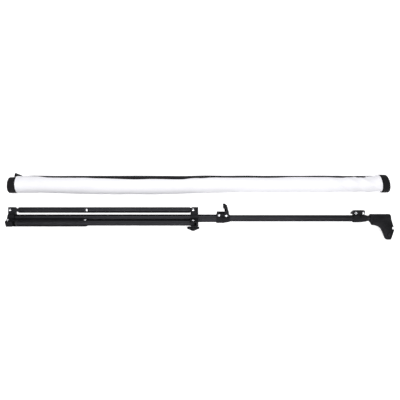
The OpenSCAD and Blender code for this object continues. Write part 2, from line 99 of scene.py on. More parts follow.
# ---------------------------------------------------------------- sizes, as in the part
# Outer and inner radii of the tubes
BASE_R, MIDDLE_R, UPPER_R, LEG_R = 15.0, 12.7, 11.0, 11.0
BASE_IN, MIDDLE_IN, UPPER_IN, LEG_IN = 13.5, 11.5, 9.8, 9.8
# Places along the column: the tubes' ends, the hinges at collar, leg and spider, the feet, the head's mouth
BASE_L, MIDDLE_START, MIDDLE_END, UPPER_START, UPPER_END = 836.0, 135.0, 1371.0, 613.0, 1473.0
COLLAR_X, RIVET_X, SPIDER_X = 721.3, 306.0, 8.0
LEG_START, LEG_END, FOOT_X = 44.0, 708.8, 34.0
HEAD_X = 1413.0
PIVOT_R = 32.5      # from the column's axis to a folded leg's axis
# The roll: width of the cloth and where it starts, radius and length of its two covers
CLOTH_L = 1461.0
CLOTH_X = -CLOTH_L / 2
LEFT_R, LEFT_L, RIGHT_R, RIGHT_L = 31.0, 30.0, 35.5, 37.0


# ---------------------------------------------------------------- materials
class Nodes:
    """A material's node tree, with short calls for the nodes used here."""

    def __init__(self, name):
        self.mat = bpy.data.materials.new(name)
        self.mat.use_nodes = True
        self.tree = self.mat.node_tree
        self.bsdf = self.tree.nodes["Principled BSDF"]
        self.where = self.add("ShaderNodeTexCoord").outputs["Object"]

    def add(self, kind, **settings):
        n = self.tree.nodes.new(kind)
        for key, value in settings.items():
            setattr(n, key, value)
        return n

    def link(self, a, b):
        self.tree.links.new(a, b)

    def socket(self, value, target):
        if isinstance(value, bpy.types.NodeSocket):
            self.link(value, target)
        else:
            target.default_value = value

    def stretch(self, x, y, z):
        n = self.add("ShaderNodeMapping")
        n.inputs["Scale"].default_value = (x, y, z)
        self.link(self.where, n.inputs["Vector"])
        return n.outputs["Vector"]

    def noise(self, scale, detail=2.0, rough=0.5, vector=None):
        n = self.add("ShaderNodeTexNoise")
        n.inputs["Scale"].default_value = scale
        n.inputs["Detail"].default_value = detail
        n.inputs["Roughness"].default_value = rough
        self.link(vector or self.where, n.inputs["Vector"])
        return n.outputs["Fac"]

    def cells(self, scale, vector=None):
        n = self.add("ShaderNodeTexVoronoi")
        n.inputs["Scale"].default_value = scale
        self.link(vector or self.where, n.inputs["Vector"])
        return n.outputs["Distance"]

    def span(self, value, low, high, start=0.0, end=1.0):
        n = self.add("ShaderNodeMapRange")
        self.link(value, n.inputs["Value"])
        for key, v in zip(("From Min", "From Max", "To Min", "To Max"), (start, end, low, high)):
            n.inputs[key].default_value = v
        return n.outputs["Result"]

    def math(self, operation, a, b=0.0):
        n = self.add("ShaderNodeMath", operation=operation)
        self.socket(a, n.inputs[0])
        self.socket(b, n.inputs[1])
        return n.outputs["Value"]

    def mix(self, factor, a, b):
        n = self.add("ShaderNodeMix", data_type="RGBA")
        self.socket(factor, n.inputs["Factor"])
        for value, key in ((a, 6), (b, 7)):
            self.socket(value if isinstance(value, bpy.types.NodeSocket) else (*value, 1.0), n.inputs[key])
        return n.outputs[2]

    def bump(self, height, distance, strength=1.0, under=None):
        n = self.add("ShaderNodeBump")
        n.inputs["Strength"].default_value = strength
        n.inputs["Distance"].default_value = distance
        self.link(height, n.inputs["Height"])
        if under:
            self.link(under, n.inputs["Normal"])
        return n.outputs["Normal"]

    def set(self, **values):
        for key, value in values.items():
            self.socket(value, self.bsdf.inputs[key.replace("_", " ")])
        return self.mat


RIM_TINT = (0.12, 0.12, 0.13, 1.0)      # keeps the coat dark where it is seen at a low angle


def powder_coat():
    """Black powder coat with fine grain and faint rubbed streaks along the tube."""
    n = Nodes("tube_black")
    fine, broad = n.noise(1400, 2), n.noise(9, 3)
    rubbed = n.noise(60, 4, 0.7, n.stretch(0.05, 1, 1))
    colour = n.mix(n.span(broad, 0, 1, 0.3, 0.7), (0.022, 0.022, 0.0245), (0.030, 0.030, 0.033))
    colour = n.mix(n.span(rubbed, 0, 0.5, 0.66, 0.85), colour, (0.05, 0.05, 0.054))
    rough = n.math("ADD", n.span(fine, 0.33, 0.41), n.span(rubbed, -0.03, 0.05))
    return n.set(Base_Color=colour, Roughness=rough, Metallic=0.85, Specular_Tint=RIM_TINT,
                 Specular_IOR_Level=0.2, Normal=n.bump(fine, 0.00006, 0.35))


def moulded():
    """Black moulded plastic with a fine pebbled grain."""
    n = Nodes("moulded_black")
    grain, broad = n.cells(900), n.noise(30, 4)
    colour = n.mix(n.span(broad, 0, 1, 0.3, 0.7), (0.013, 0.013, 0.014), (0.021, 0.021, 0.023))
    rough = n.math("ADD", n.span(grain, 0.42, 0.52), n.span(broad, -0.04, 0.06))
    return n.set(Base_Color=colour, Roughness=rough, Metallic=0.5, Specular_Tint=RIM_TINT,
                 Specular_IOR_Level=0.2, Normal=n.bump(grain, 0.00012, 0.5))


def plated():
    """Bright plated steel with faint turning marks."""
    n = Nodes("bright_steel")
    turned, broad = n.noise(700, 2, 0.5, n.stretch(1, 0.2, 0.2)), n.noise(60, 3)
    colour = n.mix(n.span(broad, 0, 1, 0.35, 0.65), (0.70, 0.71, 0.73), (0.80, 0.81, 0.82))
    return n.set(Base_Color=colour, Metallic=1.0, Roughness=n.span(turned, 0.16, 0.30),
                 Normal=n.bump(turned, 0.00002, 0.4))


def nylon():
    """Off-white nylon for the bushes."""
    n = Nodes("nylon")
    broad = n.noise(40, 3)
    colour = n.mix(broad, (0.76, 0.76, 0.72), (0.84, 0.84, 0.81))
    return n.set(Base_Color=colour, Roughness=n.span(broad, 0.35, 0.5), Subsurface_Weight=0.1,
                 Normal=n.bump(n.noise(900), 0.00004, 0.4))


def rubber():
    """Dull black rubber for the feet."""
    n = Nodes("rubber_black")
    broad, fine = n.noise(25, 4), n.noise(1200, 2)
    colour = n.mix(broad, (0.006, 0.006, 0.007), (0.014, 0.014, 0.015))
    return n.set(Base_Color=colour, Roughness=n.span(broad, 0.6, 0.8), Normal=n.bump(fine, 0.00008, 0.5))


def alloy():
    """Drawn aluminium for the core tube."""
    n = Nodes("core_alloy")
    drawn = n.noise(900, 3, 0.6, n.stretch(0.02, 1, 1))
    colour = n.mix(drawn, (0.60, 0.61, 0.63), (0.76, 0.77, 0.79))
    return n.set(Base_Color=colour, Metallic=1.0, Roughness=n.span(drawn, 0.28, 0.45),
                 Normal=n.bump(drawn, 0.00003, 0.4))


def woven(name, low, high, thread, rough, sheen):
    """Plain weave from two crossed thread patterns in the piece's own cloth coordinates, in metres."""
    n = Nodes(name)
    cloth = n.add("ShaderNodeUVMap")
    cloth.uv_map = "cloth"
    parts = n.add("ShaderNodeSeparateXYZ")
    n.link(cloth.outputs["UV"], parts.inputs[0])
    waves = [n.math("SINE", n.math("MULTIPLY", parts.outputs[i], 2 * math.pi / thread)) for i in (0, 1)]
    weave = n.math("MULTIPLY", waves[0], waves[1])
    slub = n.noise(260, 2, 0.5, n.stretch(0.15, 1, 1))
    broad = n.noise(7, 4)
    colour = n.mix(n.span(broad, 0, 1, 0.3, 0.7), low, high)
    colour = n.mix(n.span(weave, 0, 0.10, -1, 1), colour, tuple(v * 0.8 for v in low))
    height = n.math("ADD", weave, n.math("MULTIPLY", slub, 0.8))
    under = n.bump(n.noise(45, 3), 0.0006, 0.35)
    return n.set(Base_Color=colour, Roughness=n.span(weave, rough - 0.05, rough + 0.05, -1, 1),
                 Sheen_Weight=sheen, Sheen_Roughness=0.4, Specular_IOR_Level=0.25,
                 Normal=n.bump(height, 0.00012, 0.5, under))


MATERIALS = {
    "tube_black": powder_coat(), "moulded_black": moulded(), "bright_steel": plated(), "nylon": nylon(),
    "rubber_black": rubber(), "core_alloy": alloy(),
    "cloth_white": woven("cloth_white", (0.90, 0.90, 0.925), (0.93, 0.93, 0.945), 0.0011, 0.85, 0.12),
    "cloth_black": woven("cloth_black", (0.003, 0.003, 0.0035), (0.008, 0.0075, 0.009), 0.0013, 0.85, 0.03),
}


# ---------------------------------------------------------------- mesh helpers
def fan_normals(mesh, limit=rad(38)):
    """Smooths a mesh, except over edges sharper than the limit. Large faces weigh more and stay flat."""
    count = len(mesh.polygons)
    normals, areas = np.zeros(count * 3), np.zeros(count)
    mesh.polygons.foreach_get("normal", normals)
    mesh.polygons.foreach_get("area", areas)
    normals = normals.reshape(-1, 3)
    around = [[] for _ in mesh.vertices]
    for face in mesh.polygons:
        for v in face.vertices:
            around[v].append(face.index)
    out, bound = np.zeros((len(mesh.loops), 3)), math.cos(limit)
    for face in mesh.polygons:
        own = normals[face.index]
        for loop in face.loop_indices:
            near = around[mesh.loops[loop].vertex_index]
            close = [f for f in near if normals[f] @ own > bound]
            total = (normals[close] * areas[close][:, None]).sum(axis=0)
            size = np.linalg.norm(total)
            out[loop] = total / size if size > 1e-12 else own
    mesh.shade_smooth()
    mesh.normals_split_custom_set(out)


def put(name, bm, where, slot, body, *replaced, plain_smooth=False):
    """Turns a mesh in millimetres into a piece of the scene."""
    bmesh.ops.recalc_face_normals(bm, faces=bm.faces)
    mesh = bpy.data.meshes.new(name)
    bm.to_mesh(mesh)
    bm.free()
    mesh.transform(where @ Matrix.Scale(MM, 4))
    mesh.update()
    if plain_smooth:
        mesh.shade_smooth()
    else:
        fan_normals(mesh)
    mesh.materials.append(MATERIALS[slot])
    piece = bpy.data.objects.new(name, mesh)
    bpy.context.scene.collection.objects.link(piece)
    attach(piece, body)
    if replaced:
        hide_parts(*replaced)
    return piece


def moved(bm, matrix, make):
    """Runs make(bm) and moves what it has added to the mesh."""
    known = set(bm.verts)
    make(bm)
    bmesh.ops.transform(bm, matrix=matrix, verts=[v for v in bm.verts if v not in known])
    return bm


def mirrored(bm, faces):
    """Adds the mirror image in z of some faces."""
    copy = bmesh.ops.duplicate(bm, geom=faces)["geom"]
    bmesh.ops.scale(bm, vec=(1, 1, -1), verts=[v for v in copy if isinstance(v, bmesh.types.BMVert)])


def both_sides(bm, make):
    """Runs make(bm) and adds its mirror image in z."""
    known = set(bm.verts)
    make(bm)
    mirrored(bm, list({f for v in bm.verts if v not in known for f in v.link_faces}))
    return bm


def three_ways(bm, make):
    """Runs make(bm) three times, a third of a turn around the column apart."""
    for k in range(3):
        moved(bm, turn_x(120 * k), make)
    return bm


def revolve(bm, profile, n=48, centre=(0.0, 0.0), loop=False):
    """A turned shape around a line along x. The profile is a list of (x, radius), closed if loop is set."""
    known = set(bm.verts)
    points = [bm.verts.new((x, centre[0] + r, centre[1])) for x, r in profile]
    ends = points[1:] + points[:1] if loop else points[1:]
    edges = [bm.edges.new(pair) for pair in zip(points, ends)]
    bmesh.ops.spin(bm, geom=points + edges, cent=(0, *centre), axis=(1, 0, 0), angle=2 * math.pi, steps=n,
                   use_merge=True)
    # the points on the axis have been copied n times: they become one pole each
    bmesh.ops.remove_doubles(bm, verts=[v for v in bm.verts if v not in known], dist=0.001)
    return bm


def turned(bm, profile, where, n=32, loop=False):
    """A turned shape that is then moved into place."""
    return moved(bm, where, lambda b: revolve(b, profile, n, loop=loop))


def rounded(points, radius, steps=3, closed=True):
    """The points with each corner replaced by a small arc."""
    out, count = [], len(points)
    for i, p in enumerate(points):
        if not closed and i in (0, count - 1):
            out.append(tuple(p))
            continue
        p, a, b = Vector(p), Vector(points[i - 1]), Vector(points[(i + 1) % count])
        u, v = (a - p), (b - p)
        bend = math.pi - u.angle(v)
        if bend < 0.05:
            out.append(tuple(p))
            continue
        cut = min(radius * math.tan(bend / 2), u.length * 0.45, v.length * 0.45)
        start, end = p + u.normalized() * cut, p + v.normalized() * cut
        for k in range(steps + 1):
            t = k / steps
            out.append(tuple(start * (1 - t) ** 2 + p * 2 * t * (1 - t) + end * t * t))
    return out


def slab(bm, outline, z0, z1, edge=1.0, steps=2):
    """A flat moulding: a closed outline in x and y, between two heights, with rounded edges."""
    top = [bm.verts.new((x, y, z1)) for x, y in outline]
    bottom = [bm.verts.new((x, y, z0)) for x, y in outline]
    front, back = bm.faces.new(top), bm.faces.new(list(reversed(bottom)))
    for i in range(len(outline)):
        j = (i + 1) % len(outline)
        bm.faces.new((bottom[i], bottom[j], top[j], top[i]))
    if edge > 0:
        bmesh.ops.bevel(bm, geom=[*front.edges, *back.edges], offset=edge, offset_type="OFFSET",
                        segments=steps, profile=0.5, affect="EDGES", clamp_overlap=True, material=-1)
    return bm


def softened(name, slot, body, width, sharp=28, segments=2):
    """A plain part: its CAD shape with its edges rounded over."""
    bm = bmesh.new()
    bm.from_mesh(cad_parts[name].data)
    bmesh.ops.transform(bm, matrix=Matrix.Scale(1 / MM, 4), verts=bm.verts)
    bmesh.ops.remove_doubles(bm, verts=bm.verts, dist=0.002)
    bmesh.ops.dissolve_limit(bm, angle_limit=rad(0.8), verts=bm.verts, edges=bm.edges)
    edges = [e for e in bm.edges if len(e.link_faces) == 2 and e.calc_face_angle(0) > rad(sharp)]
    bmesh.ops.bevel(bm, geom=edges, offset=width, offset_type="OFFSET", segments=segments, profile=0.5,
                    affect="EDGES", clamp_overlap=True, material=-1)
    return put(name + "_shape", bm, Matrix.Identity(4), slot, body, name)


def grid_mesh(bm, points, around=False, caps=False):
    """Faces over a grid of points; around joins the last row to the first, caps closes both ends."""
    rows = [[bm.verts.new(p) for p in row] for row in points]
    following = rows[1:] + rows[:1] if around else rows[1:]
    for a, b in zip(rows, following):
        for j in range(len(a) - 1):
            bm.faces.new((a[j], a[j + 1], b[j + 1], b[j]))
    if caps:
        bm.faces.new([row[0] for row in rows])
        bm.faces.new([row[-1] for row in reversed(rows)])


# ---------------------------------------------------------------- tubes
def put_tube(name, start, end, r_out, r_in, where, body, node):
    """A coated tube with softly rounded ends."""
    wall = rounded([(start, r_in), (start, r_out), (end, r_out), (end, r_in)], 0.4)
    put(name, revolve(bmesh.new(), wall, loop=True), where, "tube_black", body, node)


put_tube("lower_tube", 0, BASE_L, BASE_R, BASE_IN, STAND, "column", "base_tube")
put_tube("middle_tube_looks", MIDDLE_START, MIDDLE_END, MIDDLE_R, MIDDLE_IN, STAND, "middle_section",
         "middle_tube")
put_tube("upper_tube_looks", UPPER_START, UPPER_END, UPPER_R, UPPER_IN, STAND, "upper_section", "upper_tube")
for k in (1, 2, 3):
    leg = STAND @ turn_x(120 * (k - 1)) @ shift(0, PIVOT_R)
    put_tube(f"leg_{k}_tube", LEG_START, LEG_END, LEG_R, LEG_IN, leg, f"leg_{k}", f"leg_tube_{k}")

# ---------------------------------------------------------------- plain parts with softened edges
for name, slot, body, width in (
        ("base_plug", "moulded_black", "column", 0.6),
        ("spider", "moulded_black", "column", 1.2),
        ("guide_bush_lower", "nylon", "column", 0.3),
        ("clamp_lower", "moulded_black", "column", 0.7),
        ("collar", "moulded_black", "collar", 1.0),
        ("lock_knob_stud", "bright_steel", "knob", 0.3),
        ("middle_bush", "nylon", "middle_section", 0.3),
        ("guide_bush_upper", "nylon", "middle_section", 0.3),
        ("clamp_upper", "moulded_black", "middle_section", 0.7),
        ("upper_bush", "nylon", "upper_section", 0.3),
        ("upper_plug", "moulded_black", "upper_section", 0.4),
        ("sleeve_screw", "tube_black", "head", 0.5),
        ("socket_screw", "tube_black", "head", 0.5),
        ("core_tube", "core_alloy", "backdrop", 0.3),
        ("core_plug_left", "moulded_black", "backdrop", 0.3),
        ("core_plug_right", "moulded_black", "backdrop", 0.3)):
    softened(name, slot, body, width)
for k in (1, 2, 3):
    softened(f"leg_fitting_{k}", "moulded_black", f"leg_{k}", 0.8)

# ---------------------------------------------------------------- rivets, pins and bolts
HALF_LUG = 11.2                     # half the width of a lug
STRUT_Z, STRUT_OUT = 11.5, 13.0     # inner and outer face of a strut's strip
PIN_R = 3.2


def across(x, y, z=0.0, sign=1):
    """Maps a turned shape's axis onto the local z direction at a point."""
    return Matrix.Translation((x, y, z)) @ Matrix.Rotation(rad(-90 * sign), 4, "Y")


def dome(start, r, height):
    """Profile of a low round head that starts at a height and closes on the axis."""
    out = [(start, r - 0.15), (start + height * 0.12, r)]
    for k in range(6):
        a = k / 6 * math.pi / 2
        out.append((start + height * (0.25 + 0.75 * math.sin(a)), r * math.cos(a)))
    return [*out, (start + height, 0.0)]


def rivet(bm, x, y, half, shank=PIN_R, r=5.0, height=2.2):
    """A rivet along z with a round head at both ends. half is half its grip."""
    head = dome(half, r, height)
    profile = [(-a, b) for a, b in reversed(head)] + [(-half, shank), (half, shank)] + head
    turned(bm, profile, across(x, y))


def half_rivet(bm, x, y, z, length, side, shank=PIN_R, r=5.0, height=2.2):
    """One round head with a short shank below it. side gives the way it points."""
    turned(bm, [(0, 0), (0, shank), (length, shank)] + dome(length, r, height), across(x, y, z, side))


def hex_head(bm, r, z0, z1, where):
    """A hexagonal bolt head with its top corners turned down."""
    def make(b):
        corners = [(r * math.cos(rad(60 * i)), r * math.sin(rad(60 * i))) for i in range(6)]
        known = set(b.faces)
        slab(b, corners, z0, z1 - 0.7, 0)
        top = max((f for f in b.faces if f not in known), key=lambda f: f.calc_center_median().z)
        top = bmesh.ops.extrude_discrete_faces(b, faces=[top])["faces"][0]
        bmesh.ops.translate(b, vec=(0, 0, 0.7), verts=top.verts)
        bmesh.ops.scale(b, vec=(0.86, 0.86, 1), verts=top.verts)
    moved(bm, where, make)


put("collar_rivet_set", three_ways(bmesh.new(), lambda b: rivet(b, COLLAR_X, PIVOT_R, HALF_LUG)), STAND,
    "bright_steel", "collar", "collar_rivets")
pin = [(-HALF_LUG, 0), (-HALF_LUG, PIN_R - 0.4), (0.4 - HALF_LUG, PIN_R), (HALF_LUG - 0.4, PIN_R),
       (HALF_LUG, PIN_R - 0.4), (HALF_LUG, 0)]
put("spider_pin_set", three_ways(bmesh.new(), lambda b: turned(b, pin, across(SPIDER_X, PIVOT_R))), STAND,
    "bright_steel", "column", "spider_pins")

# ---------------------------------------------------------------- legs and struts
def stadium(x0, x1, y, half, n=12):
    """Outline of a strip with round ends."""
    angles = [i / n * math.pi for i in range(n + 1)]
    right = [(x1 + half * math.sin(a), y + half * math.cos(a)) for a in angles]
    left = [(x0 - half * math.sin(a), y - half * math.cos(a)) for a in angles]
    return list(reversed(right + left))


def strut_strip(bm):
    """One strip of a strut, with a pressed bead that stiffens it."""
    slab(bm, stadium(SPIDER_X, RIVET_X, PIVOT_R, 6.5), STRUT_Z, STRUT_OUT, 0.35)
    slab(bm, stadium(SPIDER_X + 20, RIVET_X - 20, PIVOT_R, 2.4, 6), STRUT_OUT - 0.2, STRUT_OUT + 0.6, 0.45)


def groove(x, width, depth=0.6, slope=0.3):
    """Profile of a groove round the foot, from where it starts."""
    return [(x, LEG_R), (x + slope, LEG_R - depth), (x + slope + width, LEG_R - depth),
            (x + 2 * slope + width, LEG_R)]


def rubber_foot(bm):
    """A domed rubber end with two grooves, and its plug inside the leg."""
    nose = [(0.0, 6.0), (0.5, 5.0), (2.2, 2.7), (4.2, 0.8), (5.0, 0.0)]
    plug_r, plug_end = LEG_IN - 0.03, LEG_START + 22
    profile = [(FOOT_X, 0), *((FOOT_X + x, LEG_R - drop) for x, drop in nose),
               *groove(FOOT_X + 6.2, 0.6), *groove(FOOT_X + 8.4, 0.5),
               (LEG_START, LEG_R), (LEG_START, plug_r), (plug_end - 0.6, plug_r), (plug_end, LEG_IN - 0.6),
               (plug_end, 0)]
    return revolve(bm, profile, 48, (PIVOT_R, 0))


for k in (1, 2, 3):
    leg = STAND @ turn_x(120 * (k - 1))
    bm = bmesh.new()
    rivet(bm, RIVET_X, PIVOT_R, STRUT_OUT + 0.05)
    put(f"leg_{k}_rivet", bm, leg, "bright_steel", f"leg_{k}", f"leg_rivet_{k}")
    bm = bmesh.new()
    for side in (-1, 1):
        half_rivet(bm, SPIDER_X, PIVOT_R, side * STRUT_Z, STRUT_OUT - STRUT_Z, side)
    put(f"strut_{k}_rivet", bm, leg, "bright_steel", f"strut_{k}", f"strut_rivet_{k}")
    strips = both_sides(bmesh.new(), strut_strip)
    put(f"strut_{k}_strips", strips, leg, "tube_black", f"strut_{k}", f"strut_{k}")
    put(f"leg_{k}_foot", rubber_foot(bmesh.new()), leg, "rubber_black", f"leg_{k}", f"leg_foot_{k}")

# ---------------------------------------------------------------- lock knob
def ball(bm, centre, r, squash=1.0, n=24, rows=12):
    """A ball, squashed along y."""
    angles = [i / rows * math.pi for i in range(1, rows)]
    profile = [(-r, 0.0), *((-r * math.cos(a), r * math.sin(a)) for a in angles), (r, 0.0)]
    turned(bm, profile, Matrix.Translation(centre) @ Matrix.Diagonal((1, squash, 1, 1)), n)


def knob_wings(bm):
    """Two wings with round ends on a turned hub. The knob's own z points away from the column."""
    wing = [(19, 32.2), (23.2, 35.5), (23.2, 39.6), (17.5, 43.0), (3.5, 49.2)]
    wing = rounded([(-19, 32.2), *wing, *((-x, y) for x, y in reversed(wing[1:]))], 3.0, 4)
    slab(bm, wing, -3.6, 3.6, 1.8, 3)
    bmesh.ops.rotate(bm, cent=(0, 0, 0), matrix=Matrix.Rotation(rad(90), 3, "X"), verts=bm.verts)
    for side in (-1, 1):
        ball(bm, (side * 18.8, 0, 37.4), 5.2, 0.95)
    hub = [(31.8, 4.1), (31.8, 7.6), (32.4, 8.3), (40.0, 8.5), (46.0, 7.4), (48.8, 5.6), (49.4, 4.0),
           (49.4, 0)]
    return turned(bm, hub, Matrix.Rotation(rad(-90), 4, "Y"), 32)


KNOB = STAND @ shift(COLLAR_X) @ Matrix.Rotation(rad(90), 4, "X")
put("knob_wings", knob_wings(bmesh.new()), KNOB, "moulded_black", "knob", "lock_knob")

# ---------------------------------------------------------------- closed shapes, joined and cut
def temporary(bm):
    """A closed mesh as an object of its own, for cutting with."""
    bmesh.ops.recalc_face_normals(bm, faces=bm.faces)
    mesh = bpy.data.meshes.new("temporary")
    bm.to_mesh(mesh)
    bm.free()
    obj = bpy.data.objects.new("temporary", mesh)
    bpy.context.scene.collection.objects.link(obj)
    return obj


def carve(bm, *cutters):
    """Joins closed shapes to a closed shape or cuts them out of it, and returns what is left."""
    base = temporary(bm)
    for mode, cutter in cutters:
        tool = temporary(cutter)
        step = base.modifiers.new("cut", "BOOLEAN")
        step.operation, step.solver, step.object = mode, "EXACT", tool
        result = bpy.data.meshes.new_from_object(base.evaluated_get(bpy.context.evaluated_depsgraph_get()))
        base.modifiers.clear()
        base.data = result
        bpy.data.objects.remove(tool)
    out = bmesh.new()
    out.from_mesh(base.data)
    bpy.data.objects.remove(base)
    return out


def block(x0, x1, y0, y1, z0, z1):
    """A plain block, as a mesh of its own."""
    return slab(bmesh.new(), [(x0, y0), (x1, y0), (x1, y1), (x0, y1)], z0, z1, 0)


def bar(where, r, x0, x1, n=48):
    """A plain round bar, as a mesh of its own."""
    return turned(bmesh.new(), [(x0, 0), (x0, r), (x1, r), (x1, 0)], where, n)


# ---------------------------------------------------------------- head
HEAD = STAND @ shift(HEAD_X)
ARM_HALF, ARM_POWER = 12.0, 3.0         # half the arm's thickness, and how square its section is
ARM_ROWS, ARM_AROUND = 72, 56           # points along and around the arm
TIP_X = 71.4                            # the socket in the arm's tip, from the sleeve's mouth
BARREL_L, BARREL_R = 79.4, 17.0         # the sleeve on the upper tube


def smooth_line(points, count):
    """Evenly spaced points along a smooth line through the given ones."""
    p = [Vector(q) for q in points]
    p = [2 * p[0] - p[1], *p, 2 * p[-1] - p[-2]]
    fine = []
    for a, b, c, d in zip(p, p[1:], p[2:], p[3:]):
        bend, twist = 2 * a - 5 * b + 4 * c - d, 3 * b - a - 3 * c + d
        for t in (k / 16 for k in range(16)):
            fine.append(0.5 * (2 * b + (c - a) * t + bend * t * t + twist * t ** 3))
    fine.append(p[-2])
    run = np.concatenate([[0], np.cumsum([(v - u).length for u, v in zip(fine, fine[1:])])])
    at = np.linspace(0, run[-1], count)
    return np.stack([np.interp(at, run, [q[i] for q in fine]) for i in range(2)], axis=-1)


# The arm's two long edges, from the sleeve out to the tip
inner_side = smooth_line([(0.5, -4), (1.0, -13), (4.0, -21), (8, -25.8), (16, -27.4), (25, -29.3),
                          (33, -32.4), (39.5, -37), (44.6, -43.4), (48.6, -51.5), (52.4, -60.5),
                          (56.4, -70.5), (60, -78.6), (63.6, -82.6), (67, -83.4)], ARM_ROWS)
outer_side = smooth_line([(84.6, -4), (87.2, -13), (89.8, -21.5), (92, -29), (94, -36), (95.3, -43.8),
                          (93.8, -50.5), (90.6, -60), (87, -70), (83.6, -79), (80.6, -82.6), (77.5, -83.4)],
                         ARM_ROWS)


def arm_half(i):
    """Half thickness of the arm at a row of its surface: it turns in at the tip."""
    left = (ARM_ROWS - 1 - i) / 4
    return ARM_HALF * (1 - 0.28 * max(0.0, 1 - left) ** 2)


def arm_z(x, y):
    """Height of the arm's front face."""
    low = np.interp(-y, -inner_side[:, 1], inner_side[:, 0])
    high = np.interp(-y, -outer_side[:, 1], outer_side[:, 0])
    u = min(abs(2 * (x - low) / (high - low) - 1), 0.98)
    return ARM_HALF * (1 - u ** ARM_POWER) ** (1 / ARM_POWER)


def superellipse(a, power):
    """A point of a square with very round corners, at an angle."""
    c, s = math.cos(a), math.sin(a)
    return math.copysign(abs(c) ** (2 / power), c), math.copysign(abs(s) ** (2 / power), s)


def arm():
    """The arm's body: a soft section that follows its two edges."""
    section = [superellipse(2 * math.pi * (k + 0.5) / ARM_AROUND, ARM_POWER) for k in range(ARM_AROUND)]
    rows = []
    for i, (inner, outer) in enumerate(zip(inner_side, outer_side)):
        mid, half = (inner + outer) / 2, (outer - inner) / 2
        rows.append([(*(mid + half * u), arm_half(i) * v) for u, v in section])
    bm = bmesh.new()
    grid_mesh(bm, [list(row) for row in zip(*rows)], around=True, caps=True)
    return bm


def sleeve():
    """The barrel that sits on the upper tube."""
    outline = [(0, 0), (0, BARREL_R), (BARREL_L, BARREL_R), (BARREL_L, 0)]
    return revolve(bmesh.new(), rounded(outline, 3.0, 4, closed=False), 72)


tip = Matrix.Translation((TIP_X, 0, 0)) @ Matrix.Rotation(rad(90), 4, "Z")
moulding = carve(
    arm(), ("UNION", sleeve()),
    ("DIFFERENCE", bar(Matrix.Identity(4), UPPER_R + 0.05, -1, 62.2)),      # the sleeve's bore
    ("DIFFERENCE", block(85.0, 99, -43.05, -33.55, -14, 14)),               # the hanger notch
    ("DIFFERENCE", block(6.8, 8.2, -7, 9, 13, 19)),                         # a slot near the sleeve's mouth
    ("DIFFERENCE", bar(tip, 6.5, -85, -58.5)),                              # the socket for a cross bar
    ("DIFFERENCE", bar(across(TIP_X, -64.3), 5.6, 9.6, 14)),                # room for the socket screw
    ("DIFFERENCE", bar(across(20, 0, 0, -1), 5.6, 14.6, 20)))               # room for the sleeve screw
put("head_moulding", moulding, HEAD, "moulded_black", "head", "head")


def bead(bm, path, half, height, z_at):
    """A raised rib with a soft top that follows a path on a face; z_at gives the face's height."""
    section = [(-1, -0.8), (-1, 0.2), (-0.6, 0.8), (0, 1.0), (0.6, 0.8), (1, 0.2), (1, -0.8)]
    rows = []
    for i, p in enumerate(path):
        a, b = Vector(path[max(i - 1, 0)]), Vector(path[min(i + 1, len(path) - 1)])
        sideways = Vector((-(b - a).y, (b - a).x)).normalized()
        width = half * (0.35 if i in (0, len(path) - 1) else 1.0)
        rows.append([(p[0] + sideways.x * width * s, p[1] + sideways.y * width * s, z_at(*p) + height * h)
                     for s, h in section])
    grid_mesh(bm, [list(row) for row in zip(*rows)], around=True, caps=True)


def arc(x, y, r, start, end, n=14):
    """Points along an arc, with its angles in degrees."""
    angles = [rad(start + (end - start) * i / n) for i in range(n + 1)]
    return [(x + r * math.cos(a), y + r * math.sin(a)) for a in angles]


def head_ribs(bm):
    """The ribs moulded on the arm's faces and around the end of the sleeve."""
    around_tip = [(63.2, -56), *arc(TIP_X, -66, 8.2, 180, 360), (79.6, -58)]
    by_sleeve = [(66 - 0.02 * (y + 6) ** 2, y) for y in range(-26, -11, 2)]
    both_sides(bm, lambda b: bead(b, around_tip, 0.9, 0.8, arm_z))
    both_sides(bm, lambda b: bead(b, by_sleeve, 1.0, 0.9, arm_z))
    return revolve(bm, [(64.6, 16.6), (64.9, 17.3), (65.6, 17.6), (66.3, 17.3), (66.6, 16.6)], 72, loop=True)


put("head_ribs", head_ribs(bmesh.new()), HEAD, "moulded_black", "head")

# ---------------------------------------------------------------- clamps: bolts, bosses and grip ribs
BOLT_X, BOLT_R = 14.0, 21.0     # the bolts: from the tube's mouth along the column, and from its axis
EAR_Z, CHEEK_Z = 8.7, 11.6      # outer faces of the clamp's ears and of the lever's cheeks


def clamp_bolts(bm):
    """Two bolts, each with a washer and a hexagonal head, and with a nut or a dome at the other end."""
    for x, half in ((-BOLT_X, EAR_Z), (BOLT_X, CHEEK_Z)):
        washer = [(half - 0.02, 0), (half - 0.02, 4.9), (half + 0.5, 4.9), (half + 0.6, 4.4), (half + 0.6, 0)]
        turned(bm, [(-half, 0), (-half, 3), (half, 3), (half, 0)], across(x, BOLT_R))
        turned(bm, washer, across(x, BOLT_R))
        hex_head(bm, 4.7, -half - 2.8, -half, Matrix.Translation((x, BOLT_R, 0)))
    hex_head(bm, 4.6, EAR_Z + 0.55, EAR_Z + 2.8, Matrix.Translation((-BOLT_X, BOLT_R, 0)))
    turned(bm, [(CHEEK_Z + 0.55, 0), *dome(CHEEK_Z + 0.55, 4.4, 2.2)], across(BOLT_X, BOLT_R))
    return bm


def boss_ribs(bm):
    """A raised rim around the lower bolt on each ear."""
    rim = arc(-BOLT_X, BOLT_R, 6.0, 160, 350)
    return both_sides(bm, lambda b: bead(b, rim, 0.4, 0.24, lambda x, y: EAR_Z))


